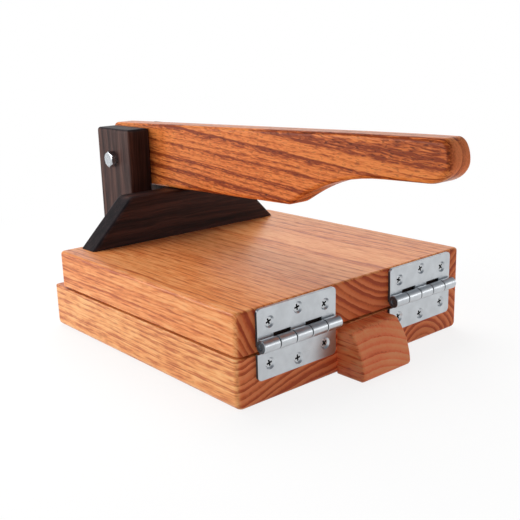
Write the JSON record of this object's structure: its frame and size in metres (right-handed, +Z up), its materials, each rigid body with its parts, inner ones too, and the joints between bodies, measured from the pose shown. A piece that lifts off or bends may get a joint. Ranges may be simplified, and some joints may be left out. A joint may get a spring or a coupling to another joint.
{
  "type": "tortilla press",
  "caption": "Wooden tortilla press: square oak boards joined by steel butt hinges, closed by a long lever that pivots between dark posts and bears on a cross bar.",
  "frame": {"origin": "centre of the lower board's underside", "axes": "+Z up from the table; +X from the posts towards the hinges and the handle's tip; +Y along the hinge axis"},
  "size_m": [0.3398, 0.2032, 0.1504],
  "materials": {
    "board_oak": "oiled red oak, satin",
    "lever_oak": "oiled red oak, satin",
    "dark_walnut": "oiled dark walnut, satin",
    "dowel_wood": "bare birch",
    "hinge_steel": "satin zinc-plated steel",
    "screw_steel": "satin zinc-plated steel",
    "bolt_steel": "bright zinc-plated steel"
  },
  "bodies": {
    "base": {"lower_board": "board_oak", "stop_block": "board_oak", "stop_block_dowels": "dowel_wood", "left_post": "dark_walnut", "right_post": "dark_walnut", "left_post_screws": "screw_steel", "right_post_screws": "screw_steel", "pivot_bolt": "bolt_steel", "pivot_washer": "bolt_steel", "pivot_nut": "bolt_steel", "left_hinge_lower_leaf": "hinge_steel", "right_hinge_lower_leaf": "hinge_steel", "left_lower_leaf_screws": "screw_steel", "right_lower_leaf_screws": "screw_steel"},
    "upper_board": {"upper_board": "board_oak", "bearing_bar": "dark_walnut", "bearing_bar_dowels": "dowel_wood", "left_hinge_upper_leaf": "hinge_steel", "right_hinge_upper_leaf": "hinge_steel", "left_hinge_pin": "hinge_steel", "right_hinge_pin": "hinge_steel", "left_upper_leaf_screws": "screw_steel", "right_upper_leaf_screws": "screw_steel"},
    "lever": {"lever": "lever_oak"}
  },
  "joints": [
    {"name": "lever_pivot", "type": "hinge", "parent": "base", "child": "lever", "pos_m": [-0.13065, 0, 0.11511], "axis": [0, -1, 0], "range_deg": [0, 195]},
    {"name": "upper_board_hinge", "type": "hinge", "parent": "base", "child": "upper_board", "pos_m": [0.11155, 0, 0.03735], "axis": [0, 1, 0], "range_deg": [0, 39]}
  ],
  "couplings": [
    {"joint": "upper_board_hinge", "follows": "lever_pivot", "ratio": 0.2}
  ]
}
